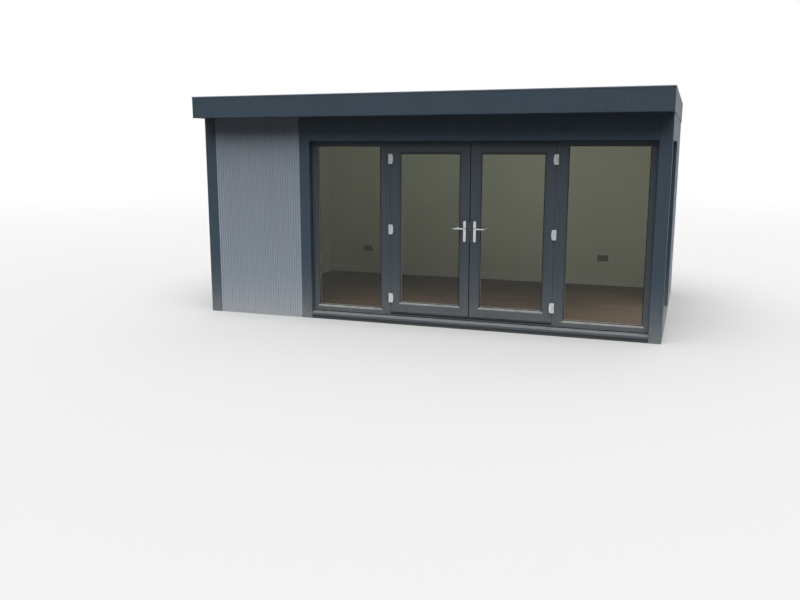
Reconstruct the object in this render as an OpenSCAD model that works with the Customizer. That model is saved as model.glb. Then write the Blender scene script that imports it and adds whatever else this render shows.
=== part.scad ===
// Garden office pod: a flat-roofed insulated-panel room with a glazed front.
// The front faces -Y. The origin is on the ground, under the middle of the roof outline.

/* [Overall] */
// Width over the roof edge
roof_w = 5200; // [4400:10:6400]
// Depth over the roof edge, front to back
roof_d = 3500; // [2700:10:4400]
// Height from the ground to the roof trim
overall_h = 2500; // [2330:5:3000]
// How far the roof stands out in front of the wall
front_overhang = 230; // [60:5:600]
// How far the roof edge stands out at each side
side_overhang = 10; // [4:1:12]
// How far the roof edge stands out at the back
rear_overhang = 10; // [4:1:12]

/* [Walls] */
// Thickness of the insulated wall panels
panel_t = 118; // [90:1:180]
// Thickness of the cladding and of the trims over the panels
skin_t = 22; // [16:1:40]
// Visible width of each leg of the corner trims
corner_w = 132; // [90:1:180]
// Width of the upright trim between cladding and glazing
screen_trim_w = 120; // [80:1:160]
// Width of the front right corner post, on the front
post_front_w = 125; // [110:1:180]
// Width of the same post, on the side
post_side_w = 125; // [90:1:180]

/* [Cladding] */
// Nominal spacing of the vertical ribs
rib_pitch = 30.8; // [20:0.1:60]
// Width of the groove between two ribs, at the face
rib_gap = 11; // [5:0.5:15]
// Depth of the grooves
rib_depth = 5; // [3:0.5:10]
// Slope of a rib's flanks, across
rib_flank = 1.5; // [0.5:0.5:3]
// Ribs on each cladding board
ribs_per_board = 5; // [3:1:8]
// Extra depth of the groove where two boards meet
joint_depth = 2; // [1:0.5:6]

/* [Floor] */
// Height of the timber bearers under the floor
bearer_h = 22; // [20:1:100]
// Width of a bearer
bearer_w = 95; // [45:1:150]
// Nominal spacing of the bearers
bearer_pitch = 450; // [300:10:500]
// Thickness of the floor deck
deck_t = 30; // [22:1:120]
// Thickness of the laminate floor
laminate_t = 8; // [6:1:20]
// Gap left round the laminate floor for it to swell
floor_play = 8; // [5:1:12]
// Height of the skirting board
skirting_h = 95; // [50:5:180]
// Thickness of the skirting board
skirting_t = 15; // [9:1:25]

/* [Roof] */
// Height of the fascia
fascia_h = 235; // [160:5:320]
// Thickness of the fascia boards
fascia_t = 19; // [14:1:30]
// Thickness of the soffit board
soft_t = 12; // [6:1:20]
// Fall of the roof from front to back
roof_fall = 40; // [10:5:80]
// Thickness of the roof membrane
membrane_t = 3; // [1.5:0.5:6]
// Thickness of the metal roof edge trim
cap_t = 3; // [2:0.5:6]
// Height of the edge trim's outer lip
cap_lip = 12; // [10:1:40]
// Width of the edge trim on top
cap_w = 46; // [36:1:80]
// Thickness of the ceiling board
ceiling_t = 12; // [9:1:20]

/* [Glazed front] */
// Setback of the frames behind the face of the trims
recess = 65; // [30:1:70]
// Width of the left fixed light's frame
left_light_w = 906; // [500:1:1200]
// Width of the right fixed light's frame
right_light_w = 946; // [500:1:1200]
// Height of the top of the frames above the sill
frame_h = 1947; // [1700:1:2100]
// Face width of the fixed light profile
light_face = 54; // [40:1:80]
// Face width of the door frame profile
door_face = 40; // [34:1:60]
// Width of the glazing bead
bead_w = 20; // [14:1:26]
// How far the trims lap over the frames
cover = 6; // [2:1:12]
// How far the header panel laps over the frames
head_cover = 24; // [6:1:30]
// Thickness of the sealed glass units
unit_t = 28; // [20:1:32]
// Thickness of one pane
pane_t = 4; // [4:0.5:8]

/* [Doors] */
// Width of one door leaf
leaf_w = 892; // [600:1:1100]
// Thickness of a door leaf
leaf_t = 52; // [49:1:58]
// Face width of the leaf profile, without its bead
leaf_face = 90; // [70:1:120]
// Gap between a leaf and its frame
leaf_gap = 6; // [5:0.5:10]
// Gap between the two leaves
meeting_gap = 9; // [8:0.5:14]
// Width of the lip that the leaf closes towards
stop_w = 18; // [12:1:24]
// Thickness of that lip
stop_t = 12; // [8:1:16]

/* [Hinges] */
// Height of a hinge
hinge_h = 104; // [80:1:130]
// Radius of the hinge knuckle
knuckle_r = 8; // [6:0.5:9]
// Radius of the hinge pin
pin_r = 3.5; // [2.5:0.5:4.5]
// Radial play of the hinge pin
pin_play = 0.05; // [0.02:0.01:0.08]
// Distance of the lowest hinge's middle from the leaf's foot
hinge_foot = 156; // [120:1:260]
// Distance of the top hinge's middle from the leaf's head
hinge_head = 168; // [120:1:260]

/* [Handles] */
// Length of the handle plate
plate_h = 226; // [180:1:260]
// Width of the handle plate
plate_w = 28; // [26:1:40]
// Thickness of the handle plate
plate_t = 11; // [8:1:16]
// Height of the lever above the middle of the plate
lever_up = 31; // [10:1:50]
// Distance from lever to lock cylinder
lock_drop = 92; // [70:1:100]
// Length of the lever from its axis
lever_len = 118; // [90:1:140]
// Projection of the lever from the plate
lever_out = 42; // [30:1:60]
// Distance of the lever axis from the leaf's meeting edge
backset = 51; // [40:1:60]

/* [Side window] */
// Width of the side window's frame, along the wall
side_light_w = 1647; // [700:1:1900]

/* [Sockets] */
// Width of a double socket
socket_w = 146; // [120:1:150]
// Height of a double socket
socket_h = 86; // [80:1:90]
// Height of the sockets' middle above the floor
socket_up = 375; // [200:5:600]

/* [Hidden] */
$fn = 48;

// Colours
anthracite = [0.21, 0.25, 0.30];
frame_grey = [0.23, 0.25, 0.30];
light_grey = [0.62, 0.66, 0.70];
panel_white = [0.86, 0.87, 0.83];
timber = [0.66, 0.54, 0.38];
laminate = [0.30, 0.25, 0.22];
glass_tint = [0.55, 0.65, 0.66, 0.4];
hinge_white = [0.85, 0.86, 0.87];
satin_silver = [0.70, 0.71, 0.73];

// Faces of the outside walls
wall_x0 = -roof_w / 2 + side_overhang;
wall_x1 = roof_w / 2 - side_overhang;
front_y = -roof_d / 2 + front_overhang;
rear_y = roof_d / 2 - rear_overhang;
wall_t = skin_t + panel_t;

// Levels
deck_top = bearer_h + deck_t;
sill_t = 30;
sill_top = deck_top + sill_t;
frame_top = sill_top + frame_h;
header_z = frame_top - head_cover;
eaves_z = overall_h - fascia_h;
floor_top = deck_top + laminate_t;
roof_top = overall_h - cap_t - membrane_t;

// Inside faces of the room
room_x0 = wall_x0 + wall_t;
room_x1 = wall_x1 - wall_t;
room_y0 = front_y + wall_t;
room_y1 = rear_y - wall_t;

// Layout of the glazed front, from right to left
frame_d = leaf_t + leaf_gap + stop_t;
door_set_w = 2 * (door_face + leaf_gap + leaf_w) + meeting_gap;
screen_x1 = wall_x1 - post_front_w;
frames_x1 = screen_x1 + cover;
frames_x0 = frames_x1 - left_light_w - right_light_w - door_set_w;
screen_x0 = frames_x0 + cover;
clad_front_x1 = screen_x0 - screen_trim_w;
door_x0 = frames_x0 + left_light_w;
door_x1 = frames_x1 - right_light_w;
meeting_x = (door_x0 + door_x1) / 2;
frame_y = front_y + recess;
frame_in_y = frame_y + frame_d;

// Layout of the side window, from the front post towards the back.
// Its frame is set back just far enough to stand clear of the end of the front frames.
corner_play = 4;
side_recess = post_front_w - cover - frame_d - corner_play;
side_y0 = front_y + post_side_w - cover;
side_y1 = side_y0 + side_light_w;
side_frame_x = wall_x1 - side_recess;
side_in_x = side_frame_x - frame_d;
side_trim_y0 = side_y1 - cover;
side_trim_y1 = side_trim_y0 + screen_trim_w;

// Door leaves
leaf_z0 = sill_top + door_face + leaf_gap;
leaf_z1 = frame_top - door_face - leaf_gap;
leaf_h = leaf_z1 - leaf_z0;
stop_y = leaf_t + leaf_gap;
hinge_stand = 1;
hinge_out = knuckle_r + hinge_stand;
lever_z = (leaf_z0 + leaf_z1) / 2 + lever_up;

// A plain block between two corners
module block(x0, x1, y0, y1, z0, z1)
    translate([x0, y0, z0]) cube([x1 - x0, y1 - y0, z1 - z0]);

// A profile drawn in Y and Z, run along X
module along_x(x0, x1)
    translate([x0, 0, 0]) rotate([90, 0, 90]) linear_extrude(x1 - x0) children();

// A profile drawn in X and Z, run along Y
module along_y(y0, y1)
    translate([0, y1, 0]) rotate([90, 0, 0]) linear_extrude(y1 - y0) children();

// Ribbed boards: face at y = 0, back at y = thick, run up from z0 to z1
function rib_floor(i) = rib_depth + (i % ribs_per_board == 0 ? joint_depth : 0);

function rib_points(count, pitch) = [for (i = [0 : count - 1]) each [
    [i * pitch + rib_gap / 2, rib_floor(i)],
    [i * pitch + rib_gap / 2 + rib_flank, 0],
    [(i + 1) * pitch - rib_gap / 2 - rib_flank, 0],
    [(i + 1) * pitch - rib_gap / 2, rib_floor(i + 1)]]];

module ribbed(length, thick, z0, z1) {
    count = max(1, round(length / rib_pitch));
    pitch = length / count;
    translate([0, 0, z0]) linear_extrude(z1 - z0)
        polygon(concat([[0, thick], [0, rib_floor(0)]], rib_points(count, pitch),
            [[length, rib_floor(count)], [length, thick]]));
}

// One straight length of a frame, cut at 45 degrees at both ends.
// It runs along +X, its outer edge at z = 0, its face at y = 0; the profile's points are [z, y].
module mitred_bar(length, profile, reach)
    intersection() {
        rotate([90, 0, 90]) linear_extrude(length) polygon([for (p = profile) [p[1], p[0]]]);
        translate([0, frame_d + 1, 0]) rotate([90, 0, 0]) linear_extrude(frame_d + 2)
            polygon([[0, 0], [length, 0], [length - reach, reach], [reach, reach]]);
    }

// The four lengths of a frame of width w and height h, with its corner at the origin
module bottom_bar(w, h, profile, reach) mitred_bar(w, profile, reach);
module top_bar(w, h, profile, reach)
    translate([0, 0, h]) mirror([0, 0, 1]) mitred_bar(w, profile, reach);
module left_bar(w, h, profile, reach)
    mirror([1, 0, 0]) rotate([0, -90, 0]) mitred_bar(h, profile, reach);
module right_bar(w, h, profile, reach)
    translate([w, 0, 0]) mirror([1, 0, 0]) left_bar(w, h, profile, reach);

module welded_ring(w, h, profile, reach) {
    bottom_bar(w, h, profile, reach);
    top_bar(w, h, profile, reach);
    left_bar(w, h, profile, reach);
    right_bar(w, h, profile, reach);
}

// Glazed profiles: a flat face, a groove, a sloped bead, the glass slot and the inner lip
edge = 2;
bead_fall = 2;
bead_drop = 11;
bead_lip = 3;
bead_front = bead_fall + bead_drop + bead_lip;
slot_play = 5;
glass_grip = 11;

function glazed_profile(face, depth) = let (g = face + bead_w, s = g - glass_grip - slot_play) [
    [0, edge], [edge, 0], [face - edge, 0], [face, edge], [face + edge, edge / 2],
    [face + 2 * edge, bead_fall], [g, bead_fall + bead_drop], [g, bead_front], [s, bead_front],
    [s, bead_front + unit_t], [g, bead_front + unit_t], [g, depth - edge], [g - edge, depth], [0, depth]];

function glazed_reach(face) = face + bead_w;

// Door frame profile: a flat face, the rebate and the lip that the leaf closes towards
function stop_profile() = [
    [0, edge], [edge, 0], [door_face - edge, 0], [door_face, edge], [door_face, stop_y],
    [door_face + stop_w - edge, stop_y], [door_face + stop_w, stop_y + edge],
    [door_face + stop_w, frame_d - edge], [door_face + stop_w - edge, frame_d], [0, frame_d]];

stop_reach = door_face + stop_w;

// A sealed unit as its two panes, for a frame of width w and height h
module glass_unit(w, h, face) {
    inset = face + bead_w - glass_grip;
    for (y = [bead_front, bead_front + unit_t - pane_t])
        translate([inset, y, inset]) cube([w - 2 * inset, pane_t, h - 2 * inset]);
}

// Places for the frames
module at_left_light() translate([frames_x0, frame_y, sill_top]) children();
module at_right_light() translate([door_x1, frame_y, sill_top]) children();
module at_door_set() translate([door_x0, frame_y, sill_top]) children();
module at_side_light() translate([side_frame_x, side_y0, sill_top]) rotate([0, 0, 90]) children();
module at_left_leaf() translate([door_x0 + door_face + leaf_gap, frame_y, leaf_z0]) children();

// The right leaf is the left one mirrored about the meeting line
module as_right() translate([2 * meeting_x, 0, 0]) mirror([1, 0, 0]) children();

// Floor
module floor_bearers() {
    x0 = wall_x0 + skin_t;
    span = wall_x1 - skin_t - x0 - bearer_w;
    count = ceil(span / bearer_pitch);
    color(timber) for (i = [0 : count]) translate([x0 + i * span / count, 0, 0])
        block(0, bearer_w, front_y + skin_t, rear_y - skin_t, 0, bearer_h);
}

module floor_deck() color(timber)
    block(wall_x0 + skin_t, wall_x1 - skin_t, front_y + skin_t, rear_y - skin_t, bearer_h, deck_top);

// The laminate keeps its gap to the walls, and to the frames where these stand further in
module laminate_floor() color(laminate) difference() {
    block(room_x0 + floor_play, room_x1 - floor_play,
        room_y0 + floor_play, room_y1 - floor_play, deck_top, floor_top);
    block(frames_x0 - floor_play, wall_x1, front_y, frame_in_y + floor_play, bearer_h, frame_top);
    block(side_in_x - floor_play, wall_x1, front_y, side_y1 + floor_play, bearer_h, frame_top);
}

plinth_t = 18;

module plinth_boards() color(anthracite) {
    block(screen_x0, screen_x1, front_y + skin_t - plinth_t, front_y + skin_t, 0, deck_top);
    block(wall_x1 - skin_t, wall_x1 - skin_t + plinth_t, side_y0 + cover, side_trim_y0, 0, deck_top);
}

// Wall panels
module front_wall() color(panel_white)
    block(wall_x0 + skin_t, frames_x0, front_y + skin_t, room_y0, deck_top, eaves_z);

// The post carries the front header's end; the side header starts behind it
module corner_post() color(panel_white)
    block(frames_x1, wall_x1 - skin_t, front_y + skin_t, side_y0, deck_top, frame_top);

module left_wall() color(panel_white)
    block(wall_x0 + skin_t, room_x0, room_y0, rear_y - skin_t, deck_top, eaves_z);

module rear_wall() color(panel_white)
    block(room_x0, wall_x1 - skin_t, room_y1, rear_y - skin_t, deck_top, eaves_z);

module right_wall() color(panel_white)
    block(room_x1, wall_x1 - skin_t, side_y1, room_y1, deck_top, eaves_z);

panel_joint = 1;

module wall_headers() color(panel_white) {
    block(frames_x0, wall_x1 - skin_t, front_y + skin_t, room_y0, frame_top, eaves_z);
    block(room_x1, wall_x1 - skin_t, room_y0 + panel_joint, side_y1, frame_top, eaves_z);
}

// Ribbed cladding
module front_cladding() color(light_grey)
    translate([wall_x0 + corner_w, front_y, 0])
        ribbed(clad_front_x1 - wall_x0 - corner_w, skin_t, 0, eaves_z);

module left_cladding() color(light_grey)
    translate([wall_x0, rear_y - corner_w, 0]) rotate([0, 0, -90])
        ribbed(rear_y - front_y - 2 * corner_w, skin_t, 0, eaves_z);

module rear_cladding() color(light_grey)
    translate([wall_x1 - corner_w, rear_y, 0]) rotate([0, 0, 180])
        ribbed(wall_x1 - wall_x0 - 2 * corner_w, skin_t, 0, eaves_z);

module right_cladding() color(light_grey)
    translate([wall_x1, side_trim_y1, 0]) rotate([0, 0, 90])
        ribbed(rear_y - corner_w - side_trim_y1, skin_t, 0, eaves_z);

// Trims
corner_round = 4;

// A rounded outside corner at the origin, legs running along +X and +Y
module corner_outline(a, b) {
    difference() {
        square([a, b]);
        square(corner_round);
    }
    translate([corner_round, corner_round]) circle(r = corner_round);
}

module plain_corner() linear_extrude(eaves_z)
    difference() {
        corner_outline(corner_w, corner_w);
        translate([skin_t, skin_t]) square(corner_w);
    }

// The front right post's cover turns into both reveals, as far as the frames
module post_corner() {
    linear_extrude(eaves_z) difference() {
        corner_outline(post_front_w, post_side_w);
        translate([skin_t, skin_t]) square([post_front_w, post_side_w]);
    }
    translate([0, 0, deck_top]) linear_extrude(frame_top - deck_top) {
        translate([post_front_w - cover, skin_t]) square([cover, recess - skin_t]);
        translate([skin_t, post_side_w - cover]) square([side_recess - skin_t, cover]);
    }
}

module corner_trims() color(anthracite) {
    translate([wall_x0, front_y, 0]) plain_corner();
    translate([wall_x0, rear_y, 0]) mirror([0, 1, 0]) plain_corner();
    translate([wall_x1, rear_y, 0]) rotate([0, 0, 180]) plain_corner();
    translate([wall_x1, front_y, 0]) mirror([1, 0, 0]) post_corner();
}

// A flat trim with a return into a reveal of the given depth, drawn from the cladding to the glazing
module reveal_trim(depth) {
    linear_extrude(eaves_z) square([screen_trim_w, skin_t]);
    translate([screen_trim_w - cover, skin_t, deck_top])
        cube([cover, depth - skin_t, frame_top - deck_top]);
}

module reveal_trims() color(anthracite) {
    translate([clad_front_x1, front_y, 0]) reveal_trim(recess);
    translate([wall_x1, side_trim_y1, 0]) mirror([0, 1, 0]) rotate([0, 0, 90]) reveal_trim(side_recess);
}

// Header panel in section: face, and a return under it as far as the frames
module header_section(depth) polygon([[0, header_z], [depth, header_z], [depth, header_z + cover],
    [skin_t, header_z + cover], [skin_t, eaves_z], [0, eaves_z]]);

module header_panels() color(anthracite) {
    translate([0, front_y, 0]) along_x(screen_x0, screen_x1) header_section(recess);
    translate([wall_x1, 0, 0]) along_y(side_y0 + cover, side_trim_y0)
        mirror([1, 0]) header_section(side_recess);
}

// Roof
fascia_out = cap_t;
roof_x0 = -roof_w / 2 + fascia_out;
roof_x1 = roof_w / 2 - fascia_out;
roof_y0 = -roof_d / 2 + fascia_out;
roof_y1 = roof_d / 2 - fascia_out;
deck_run = roof_y1 - roof_y0 - 2 * fascia_t;

// The fall is one straight line between the two fascias
function roof_z(y) = roof_top - roof_fall * (y - roof_y0 - fascia_t) / deck_run;

module roof_panel() color(panel_white) along_x(roof_x0 + fascia_t, roof_x1 - fascia_t)
    polygon([[roof_y0 + fascia_t, eaves_z + soft_t], [front_y + skin_t, eaves_z + soft_t],
        [front_y + skin_t, eaves_z], [roof_y1 - fascia_t, eaves_z],
        [roof_y1 - fascia_t, roof_z(roof_y1 - fascia_t)], [roof_y0 + fascia_t, roof_z(roof_y0 + fascia_t)]]);

module roof_membrane() color([0.16, 0.17, 0.18]) along_x(roof_x0 + fascia_t, roof_x1 - fascia_t)
    polygon([[roof_y0 + fascia_t, roof_top], [roof_y1 - fascia_t, roof_top - roof_fall],
        [roof_y1 - fascia_t, roof_top - roof_fall + membrane_t],
        [roof_y0 + fascia_t, roof_top + membrane_t]]);

fascia_top = overall_h - cap_t;

module front_fascia() color(anthracite)
    block(roof_x0, roof_x1, roof_y0, roof_y0 + fascia_t, eaves_z, fascia_top);

module side_fascias() color(anthracite)
    for (x = [roof_x0, roof_x1 - fascia_t])
        block(x, x + fascia_t, roof_y0 + fascia_t, roof_y1, eaves_z, fascia_top);

module rear_fascia() color(anthracite)
    block(roof_x0 + fascia_t, roof_x1 - fascia_t,
        roof_y1 - fascia_t, roof_y1, eaves_z, fascia_top - roof_fall);

module soffit() color(anthracite)
    block(roof_x0 + fascia_t, roof_x1 - fascia_t,
        roof_y0 + fascia_t, front_y + skin_t, eaves_z, eaves_z + soft_t);

// Edge trim in section: an outer lip and a top flange, its corner at the origin
module cap_section()
    polygon([[0, -cap_lip], [0, 0], [cap_w, 0], [cap_w, -cap_t], [cap_t, -cap_t], [cap_t, -cap_lip]]);

// The rear length rests its inner edge on the membrane
cap_joint = 2;
rear_cap_z = roof_z(roof_d / 2 - cap_w) + membrane_t + cap_t;

module roof_edge_trim() color([0.36, 0.40, 0.45]) {
    translate([0, -roof_d / 2, overall_h]) along_x(-roof_w / 2, roof_w / 2) cap_section();
    translate([-roof_w / 2, 0, overall_h]) along_y(cap_w + cap_joint - roof_d / 2, roof_d / 2) cap_section();
    translate([roof_w / 2, 0, overall_h]) along_y(cap_w + cap_joint - roof_d / 2, roof_d / 2)
        mirror([1, 0]) cap_section();
    translate([0, roof_d / 2, rear_cap_z])
        along_x(roof_x0 + fascia_t + cap_joint, roof_x1 - fascia_t - cap_joint) mirror([1, 0]) cap_section();
}

module ceiling() color(panel_white)
    block(room_x0, room_x1, room_y0, room_y1, eaves_z - ceiling_t, eaves_z);

// Inside fittings. The skirting has a chamfered top edge; its lengths stop just short of each other.
skirting_joint = 1;
skirting_chamfer = 6;

module skirting_section() polygon([[0, floor_top], [skirting_t, floor_top],
    [skirting_t, floor_top + skirting_h - skirting_chamfer],
    [skirting_t - skirting_chamfer, floor_top + skirting_h], [0, floor_top + skirting_h]]);

module skirting() color(panel_white) {
    short_x0 = room_x0 + skirting_t + skirting_joint;
    translate([room_x0, 0, 0]) along_y(room_y0, room_y1) skirting_section();
    translate([room_x1, 0, 0]) along_y(side_y1, room_y1) mirror([1, 0]) skirting_section();
    translate([0, room_y1, 0]) along_x(short_x0, room_x1 - skirting_t - skirting_joint)
        mirror([1, 0]) skirting_section();
    translate([0, room_y0, 0]) along_x(short_x0, frames_x0) skirting_section();
}

// Two double sockets on the back wall, set in from the room's side walls
socket_t = 10;
left_socket_in = 636;
right_socket_in = 773;

module double_socket() translate([-socket_w / 2, -socket_t, -socket_h / 2])
    cube([socket_w, socket_t, socket_h]);

module wall_sockets() color([0.2, 0.2, 0.2])
    for (x = [room_x0 + left_socket_in, room_x1 - right_socket_in])
        translate([x, room_y1, floor_top + socket_up]) double_socket();

// Sills: level under the frame, sloped in front, with a drip nose
nose_out = 4;
nose_h = 28;
nose_r = 5;
sill_drop = 14;
nose_top = sill_top - sill_drop;

module sill_section(depth) {
    difference() {
        polygon([[depth + frame_d, deck_top], [depth + frame_d, sill_top], [depth, sill_top],
            [-nose_out, nose_top], [-nose_out, nose_top - nose_h], [nose_out, nose_top - nose_h],
            [nose_out, deck_top]]);
        translate([-nose_out, nose_top - nose_r]) square([nose_r, 2 * nose_r]);
    }
    intersection() {
        translate([nose_r - nose_out, nose_top - nose_r]) circle(r = nose_r);
        translate([-nose_out, nose_top - nose_r]) square([nose_r, nose_r]);
    }
}

module sills() color(frame_grey) {
    translate([0, front_y, 0]) along_x(screen_x0, screen_x1) sill_section(recess);
    translate([wall_x1, 0, 0]) along_y(side_y0 + cover, side_trim_y0)
        mirror([1, 0]) sill_section(side_recess);
}

// Fixed lights
module light_frame(w) welded_ring(w, frame_h, glazed_profile(light_face, frame_d), glazed_reach(light_face));

module left_light_frame() color(frame_grey) at_left_light() light_frame(left_light_w);
module right_light_frame() color(frame_grey) at_right_light() light_frame(right_light_w);
module side_light_frame() color(frame_grey) at_side_light() light_frame(side_light_w);

module fixed_glass() color(glass_tint) {
    at_left_light() glass_unit(left_light_w, frame_h, light_face);
    at_right_light() glass_unit(right_light_w, frame_h, light_face);
    at_side_light() glass_unit(side_light_w, frame_h, light_face);
}

// Door frame: the head and the threshold, then the two jambs, mitred to them
module door_frame_rails() color(frame_grey) at_door_set() {
    bottom_bar(door_set_w, frame_h, stop_profile(), stop_reach);
    top_bar(door_set_w, frame_h, stop_profile(), stop_reach);
}

module door_frame_jambs() color(frame_grey) at_door_set() {
    left_bar(door_set_w, frame_h, stop_profile(), stop_reach);
    right_bar(door_set_w, frame_h, stop_profile(), stop_reach);
}

// Door leaves, with a hole for the lever's spindle
spindle_r = 4.5;
spindle_hole_r = 8;
lever_x = leaf_w - backset;

module door_sash() difference() {
    welded_ring(leaf_w, leaf_h, glazed_profile(leaf_face, leaf_t), glazed_reach(leaf_face));
    translate([lever_x, leaf_t + 1, lever_z - leaf_z0]) rotate([90, 0, 0])
        cylinder(h = leaf_t + 2, r = spindle_hole_r);
}

module left_door_sash() color(frame_grey) at_left_leaf() door_sash();
module right_door_sash() color(frame_grey) as_right() at_left_leaf() door_sash();
module left_door_glass() color(glass_tint) at_left_leaf() glass_unit(leaf_w, leaf_h, leaf_face);
module right_door_glass() color(glass_tint) as_right() at_left_leaf() glass_unit(leaf_w, leaf_h, leaf_face);

// Hinges: the axis stands in front of the gap between jamb and leaf
hinge_x = door_x0 + door_face + leaf_gap / 2;
hinge_low_z = leaf_z0 + hinge_foot;
hinge_high_z = leaf_z1 - hinge_head;
hinge_zs = [hinge_low_z, (hinge_low_z + hinge_high_z) / 2, hinge_high_z];
flag_t = 8;
flag_play = 1.5;
flag_start = knuckle_r + flag_play;
web_set = 2;
frame_flag_w = 10;
sash_flag_w = 22;
sash_flag_curve = 150;
knuckle_gap = 1;
middle_h = 38;

// The origin is on the hinge axis, halfway up; the leaf is on the +X side
module at_hinges() for (z = hinge_zs) translate([hinge_x, frame_y - hinge_out, z]) children();

// A knuckle between two heights, with a web back to its flag
module knuckle(z0, z1, side) {
    translate([0, 0, z0]) cylinder(h = z1 - z0, r = knuckle_r);
    translate([side > 0 ? 0 : -flag_start, hinge_out - flag_t, z0])
        cube([flag_start, flag_t - web_set, z1 - z0]);
}

module frame_flag() {
    translate([-flag_start - frame_flag_w, hinge_out - flag_t, -hinge_h / 2])
        cube([frame_flag_w, flag_t, hinge_h]);
    knuckle(-hinge_h / 2, -middle_h / 2 - knuckle_gap, -1);
    knuckle(middle_h / 2 + knuckle_gap, hinge_h / 2, -1);
    translate([0, 0, -hinge_h / 2]) cylinder(h = hinge_h, r = pin_r);
}

module sash_flag() difference() {
    union() {
        intersection() {
            translate([flag_start, hinge_out - flag_t, -hinge_h / 2])
                cube([sash_flag_w, flag_t, hinge_h]);
            translate([flag_start + sash_flag_w - sash_flag_curve, hinge_out + 1, 0]) rotate([90, 0, 0])
                cylinder(h = flag_t + 2, r = sash_flag_curve, $fn = 360);
        }
        knuckle(-middle_h / 2, middle_h / 2, 1);
    }
    translate([0, 0, -hinge_h / 2]) cylinder(h = hinge_h, r = pin_r + pin_play);
}

module frame_hinges() color(hinge_white) {
    at_hinges() frame_flag();
    as_right() at_hinges() frame_flag();
}

module left_door_hinges() color(hinge_white) at_hinges() sash_flag();
module right_door_hinges() color(hinge_white) as_right() at_hinges() sash_flag();

// Handles: the origin is on the lever's axis, at the leaf's outer face
neck_r = 9;
neck_play = 1;
lock_r = 8.5;
lock_out = 3;
plate_chamfer = 3;

module at_lever() translate([door_x0 + door_face + leaf_gap + lever_x, frame_y, lever_z]) children();

// A round bar running out of the leaf, from depth y0 to y1
module out_bar(y0, y1, r) translate([0, y1, 0]) rotate([90, 0, 0]) cylinder(h = y1 - y0, r = r);

// Half the plate in section: across, then out of the leaf
module plate_half() polygon([[0, 0], [plate_w / 2, 0], [plate_w / 2, plate_t - plate_chamfer],
    [plate_w / 2 - plate_chamfer, plate_t], [0, plate_t]]);

// One plate with turned ends and chamfered edges, its middle at the origin
module plate_blank() rotate([90, 0, 0]) {
    reach = (plate_h - plate_w) / 2;
    rotate([90, 0, 0]) linear_extrude(2 * reach, center = true) {
        plate_half();
        mirror([1, 0]) plate_half();
    }
    translate([0, reach, 0]) rotate_extrude(angle = 180) plate_half();
    translate([0, -reach, 0]) rotate([0, 0, 180]) rotate_extrude(angle = 180) plate_half();
}

// The plate with a bore for the lever's neck and the lock cylinder under it
module handle_plate() difference() {
    union() {
        translate([0, 0, -lever_up]) plate_blank();
        translate([0, 0, -lock_drop]) out_bar(-plate_t - lock_out, 0, lock_r);
    }
    out_bar(-plate_t - 1, 1, neck_r + pin_play);
}

// One lever: a neck out of the plate, a bend, a straight arm and its round end
bend_r = 14;

module lever_arm() {
    arm_y = neck_r - plate_t - lever_out;
    out_bar(arm_y + bend_r, -neck_play, neck_r);
    translate([-bend_r, arm_y + bend_r, 0]) rotate([0, 0, -90])
        rotate_extrude(angle = 90) translate([bend_r, 0]) circle(r = neck_r);
    translate([neck_r - lever_len, arm_y, 0]) {
        rotate([0, 90, 0]) cylinder(h = lever_len - neck_r - bend_r, r = neck_r);
        sphere(r = neck_r);
    }
}

// The same piece on both faces of the leaf
module both_faces() {
    children();
    translate([0, leaf_t, 0]) mirror([0, 1, 0]) children();
}

module door_lever() {
    both_faces() lever_arm();
    out_bar(-plate_t, leaf_t + plate_t, spindle_r);
}

module left_handle_plates() color(satin_silver) at_lever() both_faces() handle_plate();
module right_handle_plates() color(satin_silver) as_right() at_lever() both_faces() handle_plate();
module left_lever() color(satin_silver) at_lever() door_lever();
module right_lever() color(satin_silver) as_right() at_lever() door_lever();

floor_bearers();
floor_deck();
laminate_floor();
plinth_boards();
front_wall();
corner_post();
left_wall();
rear_wall();
right_wall();
wall_headers();
front_cladding();
left_cladding();
rear_cladding();
right_cladding();
corner_trims();
reveal_trims();
header_panels();
roof_panel();
roof_membrane();
front_fascia();
side_fascias();
rear_fascia();
soffit();
roof_edge_trim();
ceiling();
skirting();
wall_sockets();
sills();
left_light_frame();
right_light_frame();
side_light_frame();
fixed_glass();
door_frame_rails();
door_frame_jambs();
frame_hinges();
left_door_sash();
left_door_glass();
left_door_hinges();
left_handle_plates();
left_lever();
right_door_sash();
right_door_glass();
right_door_hinges();
right_handle_plates();
right_lever();
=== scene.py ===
# %% [markdown]
# # A garden office pod
#
# The pod is a flat-roofed room of insulated panels. Grey ribbed cladding and dark trims cover its walls, and
# a glazed front with a pair of doors fills most of one side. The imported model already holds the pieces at
# their real size. This notebook gives them their finishes and adds what a glazier, a floor layer or a roofer
# fits last: gaskets, spacer bars, seals, floor boards, sockets, laps and sealant.

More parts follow.
